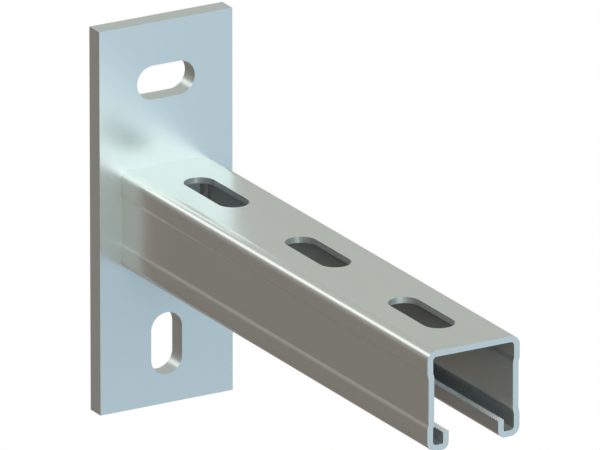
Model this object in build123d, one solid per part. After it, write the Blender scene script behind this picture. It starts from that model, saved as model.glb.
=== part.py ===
from build123d import *
from math import acos, tan
import os

# Cantilever arm that carries pipes or trays off a wall: a slotted, roll-formed
# steel channel welded square to a slotted steel back plate.
# Millimetres. The origin is the middle of the plate's wall face, +X points out
# of the wall along the arm, +Z is up, and the channel's open side faces down.

# Back plate
plate_width = 60.0
plate_height = 160.0
plate_thickness = 8.0

# Fixing slots, each centred at the same distance from its end of the plate
fixing_slot_length = 26.0
fixing_slot_width = 14.0
fixing_slot_inset = 25.0

# Channel: outside sizes, sheet thickness and inside radius of its four corners
arm_length = 240.0
channel_width = 41.0
channel_height = 41.0
wall = 2.5
corner_bend = 1.5

# Lips turned in at the open side, each with a pocket between it and the side wall
lip_height = 7.5
lip_pocket = 4.5
lip_bend = 0.5

# Teeth along the free edge of both lips, which the channel nuts grip
tooth_pitch = 1.5
tooth_depth = 0.7
tooth_flat = 0.1

# Recessed band rolled along the middle of each side wall
band_margin = 10.25
band_depth = 0.5
band_bend = 0.75
band_slope_share = 0.62

# Slots along the top, from one half pitch out of the plate
slot_length = 39.0
slot_width = 13.0
slot_pitch = 80.0

# Weld inside the channel, where it meets the plate
weld_leg = 3.0
weld_to_lip = 5.0

# Heights and places that several pieces share
channel_top = channel_height / 2
channel_bottom = -channel_height / 2
lip_top = channel_bottom + lip_height
lip_face = channel_width / 2 - wall - lip_pocket - wall
inside_width = channel_width - 2 * wall
inside_height = channel_height - 2 * wall
root_plane = Plane.YZ.offset(plate_thickness)


def band_ramp_height():
    """Height of the slope into the recessed band, shallow enough to hold its two bends."""
    both_bends = 2 * band_bend + wall
    steepest = acos(1 - band_depth / both_bends)
    return band_depth / tan(band_slope_share * steepest)


def side_wall_corners():
    """Outside corners of the right half, from the top bend down and round to the lip's edge."""
    side = channel_width / 2
    sunk_side = side - band_depth
    band_edge = channel_top - band_margin
    ramp_outer = band_edge + band_ramp_height() / 2
    ramp_inner = band_edge - band_ramp_height() / 2
    return [
        (side, channel_top),
        (side, ramp_outer),
        (sunk_side, ramp_inner),
        (sunk_side, -ramp_inner),
        (side, -ramp_outer),
        (side, channel_bottom),
        (lip_face, channel_bottom),
        (lip_face, lip_top),
    ]


def side_wall_radii():
    """Outside radius at each of those corners, apart from the lip's free edge."""
    corner = corner_bend + wall
    ridge = band_bend + wall
    valley = band_bend
    lip_corner = lip_bend + wall
    return [corner, ridge, valley, valley, ridge, corner, lip_corner]


def channel_section():
    """The rolled sheet in cross-section: its outside line, thickened inwards by the wall."""
    right = side_wall_corners()
    left = [(-y, z) for y, z in reversed(right)]
    radii = side_wall_radii()
    outside = FilletPolyline(*left, *right, radius=radii[::-1] + radii)
    return make_face(offset(outside, wall, side=Side.RIGHT))


def top_slots():
    """Cutter for the slots along the top, as many whole pitches as the arm is long."""
    slot_count = int(arm_length / slot_pitch)
    first_slot = plate_thickness + slot_pitch / 2
    slot = SlotOverall(slot_length, slot_width)
    row = Sketch() + [Pos(first_slot + i * slot_pitch, 0) * slot for i in range(slot_count)]
    return extrude(Pos(0, 0, channel_top - wall) * row, wall)


def tooth_gaps():
    """Cutter for the teeth on both lips: a bar with a zigzag underside, clear of the side walls.

    The arm starts on the middle of a tooth.
    """
    gap_count = int(arm_length / tooth_pitch) + 2
    root = lip_top - tooth_depth
    # The flanks would meet at this height, so the lip's own edge leaves each tooth a narrow flat.
    meeting = lip_top + tooth_depth * tooth_flat / (tooth_pitch - tooth_flat)
    zigzag = []
    for i in range(gap_count):
        gap_place = plate_thickness + (i - 0.5) * tooth_pitch
        zigzag += [(gap_place - tooth_pitch / 2, meeting), (gap_place, root)]
    above = meeting + tooth_depth
    back_over = [(zigzag[-1][0], above), (zigzag[0][0], above)]
    outline = make_face(Polyline(*zigzag, *back_over, close=True))
    reach = lip_face + wall + lip_pocket / 2
    return extrude(Plane.XZ * outline, reach, both=True)


def channel():
    """Roll-formed arm, cut square at both ends and butted against the plate."""
    return extrude(root_plane * channel_section(), arm_length) - top_slots() - tooth_gaps()


def back_plate():
    """Flat bar with a level slot above the arm and an upright one below, to adjust both ways."""
    bar = Pos(plate_thickness / 2, 0, 0) * Box(plate_thickness, plate_width, plate_height)
    slot_place = plate_height / 2 - fixing_slot_inset
    level_slot = Pos(0, slot_place) * SlotOverall(fixing_slot_length, fixing_slot_width)
    upright_slot = Pos(0, -slot_place) * SlotOverall(fixing_slot_length, fixing_slot_width, 90)
    slots = extrude(Plane.YZ * (level_slot + upright_slot), plate_thickness)
    return bar - slots


def root_weld(arm):
    """Fillet weld round the inside of the channel at the plate, down both sides to the lips."""
    # The blank reaches half way into the sheet, and the channel trims it to its own inside.
    top = (channel_top + inside_height / 2) / 2
    bottom = lip_top + weld_to_lip
    blank = Pos(0, (top + bottom) / 2) * Rectangle(inside_width + wall, top - bottom)
    bead = extrude(root_plane * blank, weld_leg)

    # The hollow widens from one leg inside the walls, at the plate, out to the walls.
    at_plate = Rectangle(inside_width - 2 * weld_leg, inside_height - 2 * weld_leg)
    at_walls = Rectangle(inside_width, inside_height)
    hollow = loft([root_plane * at_plate, root_plane.offset(weld_leg) * at_walls])
    return bead - hollow - arm


os.makedirs("parts", exist_ok=True)
arm = channel()
pieces = {
    "back_plate": back_plate(),
    "channel": arm,
    "root_weld": root_weld(arm),
}
for name, piece in pieces.items():
    export_step(piece, f"parts/{name}.step")
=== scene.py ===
import math

import bmesh
import bpy
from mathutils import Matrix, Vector


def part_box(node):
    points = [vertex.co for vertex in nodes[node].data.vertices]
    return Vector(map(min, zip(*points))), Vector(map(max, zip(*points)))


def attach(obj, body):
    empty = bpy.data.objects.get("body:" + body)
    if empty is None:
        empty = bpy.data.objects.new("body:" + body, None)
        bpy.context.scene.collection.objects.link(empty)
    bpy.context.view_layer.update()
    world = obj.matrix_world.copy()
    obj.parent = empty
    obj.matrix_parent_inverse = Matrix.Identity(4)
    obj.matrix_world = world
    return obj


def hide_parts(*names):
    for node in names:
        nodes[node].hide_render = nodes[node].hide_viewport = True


# Looks of the cantilever arm: zinc-plated steel in a soft studio.
# Metres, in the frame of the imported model: +X out of the wall, +Z up.

# Camera: a long lens, because the photograph has no visible perspective
LENS_MM = 1200.0
SENSOR_MM = 36.0
VIEW_AZIMUTH = 60.19
VIEW_ELEVATION = 19.60
VIEW_DISTANCE = 7.782
VIEW_TARGET = (0.1130, 0.0005, 0.0269)

# Floor, far enough below the arm that no shadow is in the picture
FLOOR_CENTRE = (0.1, 0.0, -0.45)
FLOOR_RADIUS = 1.1
FLOOR_SIDES = 96

# Studio: what the metal sees in each zone round it, in linear light
SOFTBOX_LEFT = (2.12, 2.62, 2.45)
SOFTBOX_RIGHT = (2.89, 3.33, 3.19)
HORIZON_LEFT = (0.67, 0.89, 1.05)
HORIZON_RIGHT = (0.37, 0.55, 0.44)
GROUND_LEFT = (0.15, 0.15, 0.15)
GROUND_RIGHT = (0.55, 0.35, 0.17)
BACK_ABOVE = (0.53, 0.56, 0.51)
BACK_LOW = (0.16, 0.14, 0.11)
BACK_UNDER = (0.24, 0.20, 0.18)
OVERHEAD = (0.57, 0.55, 0.49)
SIDE_LEFT = (0.25, 0.25, 0.25)
SIDE_RIGHT = (0.51, 0.50, 0.49)
KEY_COLOUR = (1.99, 2.14, 2.08)
WHITE = (1.0, 1.0, 1.0)

# Softbox in front and key behind the wall: where they stand as seen from the arm, and how wide
SOFTBOX_DIRECTION = (0.87, 0.0, 0.50)
SOFTBOX_HALF_WIDTH = math.radians(38)
SOFTBOX_SOFT_EDGE = math.radians(18)
KEY_DIRECTION = (-0.81, -0.44, 0.38)
KEY_HALF_WIDTH = math.radians(8)
KEY_SOFT_EDGE = math.radians(9)

# Soft borders between the other zones, each from where the first zone starts to fade to where
# the second is whole, along x, y or z of the direction that the metal looks in
RIGHT_TO_LEFT = (-0.45, 0.45)
GROUND_TO_HORIZON = (-0.6, -0.2)
HORIZON_TO_SKY = (0.0, 0.3)
BACK_LOW_TO_ABOVE = (-0.7, -0.1)
BACK_UNDER_TO_LOW = (-0.65, -0.4)
BEHIND_TO_AHEAD = (0.1, 0.7)
ROOM_TO_OVERHEAD = (0.5, 0.9)
ROOM_TO_SIDE_LEFT = (0.6, 0.95)
SIDE_RIGHT_TO_ROOM = (-0.9, -0.5)

# How steeply the border between low and above slants, behind the wall
BACK_SLANT = 0.9

# Fill lamp: where it stands as seen from the arm, and its light
FILL_DIRECTION = (0.90, 0.20, 0.35)
FILL_COLOUR = (0.63, 1.10, 1.55)
FILL_STRENGTH = 1.0

# Reflectance and roughness of the metals
CHANNEL_COLOUR = (0.70, 0.69, 0.68)
CHANNEL_ROUGHNESS = 0.26
# Inside colour is painted shade: darker than the outside, for the shade in the channel's hollow
INSIDE_PAINTED_SHADE = (0.54, 0.54, 0.54)
INSIDE_ROUGHNESS = 0.30
PLATE_COLOUR = (0.68, 0.69, 0.69)
PLATE_ROUGHNESS = 0.31
WELD_COLOUR = (0.40, 0.39, 0.38)
WELD_ROUGHNESS = 0.38
METALLIC = 0.76

# Painted shade deeper in the channel, away from its free end, and where it fades along the arm
DEEP_PAINTED_SHADE = (0.43, 0.425, 0.41)
DEEP_SHADE_TO_OPEN = (0.160, 0.220)

# Grains to the metre along X, Y and Z: the strip is rolled along the arm, and the bar upright
STRIP_GRAIN = {"grain": (25, 1100, 1100), "mottle": (160, 380, 380), "cloud": (14, 40, 40)}
BAR_GRAIN = {"grain": (900, 900, 60), "mottle": (420, 420, 300), "cloud": (35, 35, 22)}
BEAD_GRAIN = {"grain": (1500, 1500, 1500), "mottle": (500, 500, 500), "cloud": (90, 90, 90)}

# How far a metal's colour and roughness vary, and how high its grain stands
ROLLED_RELIEF = 0.00000012
CLEAN_SURFACE = {"shade": 0.008, "gloss": 0.01, "relief": ROLLED_RELIEF}
INSIDE_SURFACE = {"shade": 0.02, "gloss": 0.02, "relief": ROLLED_RELIEF}
BEAD_SURFACE = {"shade": 0.12, "gloss": 0.07, "relief": 0.00001}

# Range that nearly all of a noise's values lie in
NOISE_LOW = 0.3
NOISE_HIGH = 0.7

# Channel: its sheet, how far each lip's pocket is from the middle, and a margin round its faces
SHEET = 0.0025
POCKET_PLACE = 0.0135
MARGIN = 0.0001

# A face counts as square to an axis when more than this much of its normal lies along it
SQUARE = 0.9

# Weld bead: ripples along each run, and steps of its mesh
RIPPLE_PITCH = 0.0012
RIPPLE_HEIGHT = 0.00018
BEAD_STEP = 0.0002
BEAD_SIDES = 10
BEAD_BULGE = 0.35
BEAD_SINK = 0.0002


class Nodes:
    """Short way to add shader nodes and link them up."""

    def __init__(self, tree):
        self.tree = tree
        tree.nodes.clear()

    def add(self, kind, inputs=None, **settings):
        node = self.tree.nodes.new(kind)
        for key, value in settings.items():
            setattr(node, key, value)
        for key, value in (inputs or {}).items():
            self.plug(node.inputs[key], value)
        return node

    def plug(self, socket, value):
        if isinstance(value, bpy.types.NodeSocket):
            self.tree.links.new(value, socket)
        elif isinstance(value, bpy.types.Node):
            self.tree.links.new(value.outputs[0], socket)
        else:
            socket.default_value = value

    def step(self, value, border):
        """Smooth step from 0 to 1 across a border."""
        low, high = border
        limits = {"Value": value, "From Min": low, "From Max": high}
        return self.add("ShaderNodeMapRange", limits, interpolation_type="SMOOTHSTEP")

    def mix(self, share, a, b):
        node = self.add("ShaderNodeMix", data_type="RGBA")
        self.plug(node.inputs["Factor"], share)
        self.plug(node.inputs["A"], colour(a))
        self.plug(node.inputs["B"], colour(b))
        return node.outputs["Result"]

    def mean(self, *values):
        total = values[0]
        for value in values[1:]:
            total = self.add("ShaderNodeMath", {0: total, 1: value}, operation="ADD")
        return self.add("ShaderNodeMath", {0: total, 1: 1 / len(values)}, operation="MULTIPLY")

    def cone(self, direction, axis, half_width, soft_edge):
        """1 in the directions round an axis, falling to 0 over the soft edge."""
        axis = tuple(Vector(axis).normalized())
        facing = self.add("ShaderNodeVectorMath", {0: direction, 1: axis}, operation="DOT_PRODUCT")
        rim = math.cos(half_width + soft_edge / 2)
        core = math.cos(half_width - soft_edge / 2)
        return self.step(facing.outputs["Value"], (rim, core))

    def place(self):
        """Point of the surface, in the frame of the model."""
        return self.add("ShaderNodeTexCoord").outputs["Object"]

    def noise(self, grains, detail):
        """Noise from 0 to 1, with so many grains to the metre along each axis."""
        grid = self.add("ShaderNodeMapping", {"Vector": self.place(), "Scale": grains})
        texture = self.add("ShaderNodeTexNoise", {"Vector": grid, "Scale": 1.0, "Detail": detail})
        return texture.outputs["Fac"]

    def spread(self, noise, low, high):
        """Stretches the usual range of a noise to the range from low to high."""
        return self.add("ShaderNodeMapRange", {
            "Value": noise,
            "From Min": NOISE_LOW,
            "From Max": NOISE_HIGH,
            "To Min": low,
            "To Max": high,
        })


def colour(value):
    """RGB triple as the four numbers that a colour socket takes. A node stays as it is."""
    if isinstance(value, tuple):
        return (*value, 1.0)
    return value


def scaled(triple, factor):
    """The colour made lighter or darker."""
    return tuple(factor * part for part in triple)


def studio():
    """World: white to the camera, and a soft studio to the metal's reflections."""
    world = bpy.data.worlds.new("studio")
    bpy.context.scene.world = world
    world.use_nodes = True
    n = Nodes(world.node_tree)
    direction = n.add("ShaderNodeTexCoord").outputs["Generated"]
    parts = n.add("ShaderNodeSeparateXYZ", {0: direction})
    x, y, z = (parts.outputs[axis] for axis in "XYZ")

    left = n.step(y, RIGHT_TO_LEFT)
    softbox = n.cone(direction, SOFTBOX_DIRECTION, SOFTBOX_HALF_WIDTH, SOFTBOX_SOFT_EDGE)
    sky = n.mix(softbox, OVERHEAD, n.mix(left, SOFTBOX_RIGHT, SOFTBOX_LEFT))
    horizon = n.mix(left, HORIZON_RIGHT, HORIZON_LEFT)
    ground = n.mix(left, GROUND_RIGHT, GROUND_LEFT)
    ahead = n.mix(n.step(z, GROUND_TO_HORIZON), ground, horizon)
    ahead = n.mix(n.step(z, HORIZON_TO_SKY), ahead, sky)

    slanted = n.add("ShaderNodeMath", {0: y, 1: BACK_SLANT, 2: z}, operation="MULTIPLY_ADD")
    behind = n.mix(n.step(slanted, BACK_LOW_TO_ABOVE), BACK_LOW, BACK_ABOVE)
    behind = n.mix(n.step(z, BACK_UNDER_TO_LOW), BACK_UNDER, behind)

    room = n.mix(n.step(x, BEHIND_TO_AHEAD), behind, ahead)
    room = n.mix(n.step(z, ROOM_TO_OVERHEAD), room, OVERHEAD)
    room = n.mix(n.step(y, ROOM_TO_SIDE_LEFT), room, SIDE_LEFT)
    room = n.mix(n.step(y, SIDE_RIGHT_TO_ROOM), SIDE_RIGHT, room)

    key = n.cone(direction, KEY_DIRECTION, KEY_HALF_WIDTH, KEY_SOFT_EDGE)
    lit = n.mix(key, room, KEY_COLOUR)

    to_camera = n.add("ShaderNodeLightPath").outputs["Is Camera Ray"]
    seen = n.mix(to_camera, lit, WHITE)
    background = n.add("ShaderNodeBackground", {"Color": seen, "Strength": 1.0})
    n.add("ShaderNodeOutputWorld", {"Surface": background})


def fill_lamp():
    """Even light from the front. The arm doesn't shade it, so the plate stays light round it."""
    lamp = bpy.data.lights.new("fill", "SUN")
    lamp.color = FILL_COLOUR
    lamp.energy = FILL_STRENGTH
    lamp.use_shadow = False
    sun = bpy.data.objects.new("fill", lamp)
    sun.rotation_mode = "QUATERNION"
    sun.rotation_quaternion = Vector(FILL_DIRECTION).to_track_quat("Z", "Y")
    sun.visible_glossy = False
    bpy.context.scene.collection.objects.link(sun)


def floor():
    """Plain white floor that neither lights the metal nor shows in it."""
    bpy.ops.mesh.primitive_circle_add(
        vertices=FLOOR_SIDES, radius=FLOOR_RADIUS, fill_type="NGON", location=FLOOR_CENTRE
    )
    disc = bpy.context.object
    disc.name = "floor"
    material = bpy.data.materials.new("floor_white")
    material.use_nodes = True
    n = Nodes(material.node_tree)
    paint = n.add("ShaderNodeEmission", {"Color": colour(WHITE), "Strength": 1.0})
    n.add("ShaderNodeOutputMaterial", {"Surface": paint})
    disc.data.materials.append(material)
    disc.visible_glossy = False
    disc.visible_diffuse = False


def steel(name, base, roughness, grain, mottle, cloud, shade, gloss, relief, deep_shade=None):
    """Plated steel with a fine grain, a zinc mottle and broad, faint clouds.

    Grain, mottle and cloud are grains to the metre along each axis. Shade and gloss say how far
    colour and roughness vary, and relief is the height of the grain. The deep colour is painted
    shade: the darker colour that the base fades to inside the channel, away from its free end.
    """
    material = bpy.data.materials.new(name)
    material.use_nodes = True
    n = Nodes(material.node_tree)
    streaks = n.noise(grain, detail=3.0)
    patches = n.noise(mottle, detail=2.0)
    clouds = n.noise(cloud, detail=1.0)

    share = n.spread(n.mean(patches, clouds, streaks), 0.0, 1.0)
    tint = n.mix(share, scaled(base, 1 - shade), scaled(base, 1 + shade))
    # Painted shade: inside the channel the colour darkens further away from its free end.
    if deep_shade:
        deep_shade_tint = n.mix(share, scaled(deep_shade, 1 - shade), scaled(deep_shade, 1 + shade))
        along = n.add("ShaderNodeSeparateXYZ", {"Vector": n.place()}).outputs["X"]
        tint = n.mix(n.step(along, DEEP_SHADE_TO_OPEN), deep_shade_tint, tint)
    rough = n.spread(n.mean(streaks, clouds), roughness - gloss, roughness + gloss)

    bump = n.add("ShaderNodeBump", {"Height": streaks, "Strength": 1.0, "Distance": relief})
    shader = n.add("ShaderNodeBsdfPrincipled", {
        "Base Color": tint,
        "Metallic": METALLIC,
        "Roughness": rough,
        "Normal": bump,
    })
    n.add("ShaderNodeOutputMaterial", {"Surface": shader})
    return material


def is_inside(face, low, high):
    """Whether a face of the channel is inside it, or is the side of a lip towards the mouth.

    The cut ends and the toothed edges of the lips aren't.
    """
    across = abs(face.center.y)
    height = face.center.z
    in_walls = across < high.y - SHEET + MARGIN
    in_height = low.z + SHEET - MARGIN < height < high.z - SHEET + MARGIN
    on_lip = across < POCKET_PLACE - MARGIN and height < 0
    on_side = abs(face.normal.y) > SQUARE
    on_end = abs(face.normal.x) > SQUARE
    return in_walls and in_height and (on_side or not on_lip) and not on_end


def paint_inside_shade(channel, material):
    """Gives the inside faces of the channel a darker material of their own, as painted shade in
    its hollow.
    """
    low, high = (Vector(corner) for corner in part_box("channel"))
    channel.data.materials.append(material)
    for face in channel.data.polygons:
        if is_inside(face, low, high):
            face.material_index = 1


def bead_run(form, start, end, inward, leg):
    """Adds one run of weld along the corner from start to end, between the plate and a wall."""
    length = (end - start).length
    along = (end - start) / length
    out = Vector((1, 0, 0))
    stations = round(length / BEAD_STEP)
    rings = []
    for i in range(stations + 1):
        place = length * i / stations
        to_tip = min(place, length - place, leg) / leg
        size = leg * math.sqrt(1 - (1 - to_tip) ** 2) + BEAD_SINK
        corner = start + along * place - (inward + out) * BEAD_SINK
        ring = [form.verts.new(corner)]
        for j in range(BEAD_SIDES + 1):
            angle = math.pi / 2 * j / BEAD_SIDES
            flat = 1 / (math.cos(angle) + math.sin(angle))
            # The weld pool's edge is curved, so the middle of each ripple runs ahead of its sides.
            phase = (place - leg / 2 * math.sin(2 * angle)) / RIPPLE_PITCH
            ripple = RIPPLE_HEIGHT * abs(math.sin(math.pi * phase)) * to_tip
            reach = size * (flat + BEAD_BULGE * (1 - flat)) - ripple
            side = inward * math.cos(angle) + out * math.sin(angle)
            ring.append(form.verts.new(corner + side * reach))
        rings.append(ring)
    count = len(rings[0])
    for near, far in zip(rings, rings[1:]):
        for k in range(count):
            following = (k + 1) % count
            form.faces.new((near[k], near[following], far[following], far[k]))
    form.faces.new(rings[0][::-1])
    form.faces.new(rings[-1])


def weld_bead():
    """Rippled bead: up one wall, across under the top, and down the other wall."""
    low, high = (Vector(corner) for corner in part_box("root_weld"))
    leg = high.x - low.x
    form = bmesh.new()
    lower_left = Vector((low.x, high.y, low.z))
    upper_left = Vector((low.x, high.y, high.z))
    lower_right = Vector((low.x, low.y, low.z))
    upper_right = Vector((low.x, low.y, high.z))
    bead_run(form, lower_left, upper_left, Vector((0, -1, 0)), leg)
    bead_run(form, upper_left, upper_right, Vector((0, 0, -1)), leg)
    bead_run(form, upper_right, lower_right, Vector((0, 1, 0)), leg)
    bmesh.ops.recalc_face_normals(form, faces=form.faces)
    mesh = bpy.data.meshes.new("weld_bead")
    form.to_mesh(mesh)
    form.free()
    mesh.shade_smooth()
    bead = bpy.data.objects.new("weld_bead", mesh)
    bpy.context.scene.collection.objects.link(bead)
    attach(bead, "root")
    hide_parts("root_weld")
    return bead


def camera():
    """Camera at the photograph's viewing angle."""
    azimuth = math.radians(VIEW_AZIMUTH)
    elevation = math.radians(VIEW_ELEVATION)
    back = Vector((
        math.sin(azimuth) * math.cos(elevation),
        -math.cos(azimuth) * math.cos(elevation),
        math.sin(elevation),
    ))
    data = bpy.data.cameras.new("camera")
    data.lens = LENS_MM
    data.sensor_width = SENSOR_MM
    eye = bpy.data.objects.new("camera", data)
    bpy.context.scene.collection.objects.link(eye)
    eye.location = Vector(VIEW_TARGET) + back * VIEW_DISTANCE
    eye.rotation_mode = "QUATERNION"
    eye.rotation_quaternion = (-back).to_track_quat("-Z", "Y")
    bpy.context.scene.camera = eye


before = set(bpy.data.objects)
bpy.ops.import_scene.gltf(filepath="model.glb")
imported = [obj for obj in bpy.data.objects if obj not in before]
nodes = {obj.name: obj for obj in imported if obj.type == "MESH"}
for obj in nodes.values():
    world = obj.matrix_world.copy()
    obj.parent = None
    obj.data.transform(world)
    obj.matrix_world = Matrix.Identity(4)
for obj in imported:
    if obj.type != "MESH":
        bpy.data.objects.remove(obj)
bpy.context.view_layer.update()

camera()
studio()
fill_lamp()
floor()
bpy.context.scene.view_settings.view_transform = "Standard"

rolled_strip = steel(
    "channel_steel", CHANNEL_COLOUR, CHANNEL_ROUGHNESS, **STRIP_GRAIN, **CLEAN_SURFACE
)
# The channel's inside is painted darker, as painted shade in its hollow, and is a little rougher.
painted_shade_inside = steel(
    "channel_inside_painted_shade", INSIDE_PAINTED_SHADE, INSIDE_ROUGHNESS, **STRIP_GRAIN, **INSIDE_SURFACE,
    deep_shade=DEEP_PAINTED_SHADE,
)
rolled_bar = steel("plate_steel", PLATE_COLOUR, PLATE_ROUGHNESS, **BAR_GRAIN, **CLEAN_SURFACE)
weld_metal = steel("weld_metal", WELD_COLOUR, WELD_ROUGHNESS, **BEAD_GRAIN, **BEAD_SURFACE)
looks = {
    nodes["back_plate"]: rolled_bar,
    nodes["channel"]: rolled_strip,
    weld_bead(): weld_metal,
}
for piece, material in looks.items():
    piece.data.materials.clear()
    piece.data.materials.append(material)
paint_inside_shade(nodes["channel"], painted_shade_inside)
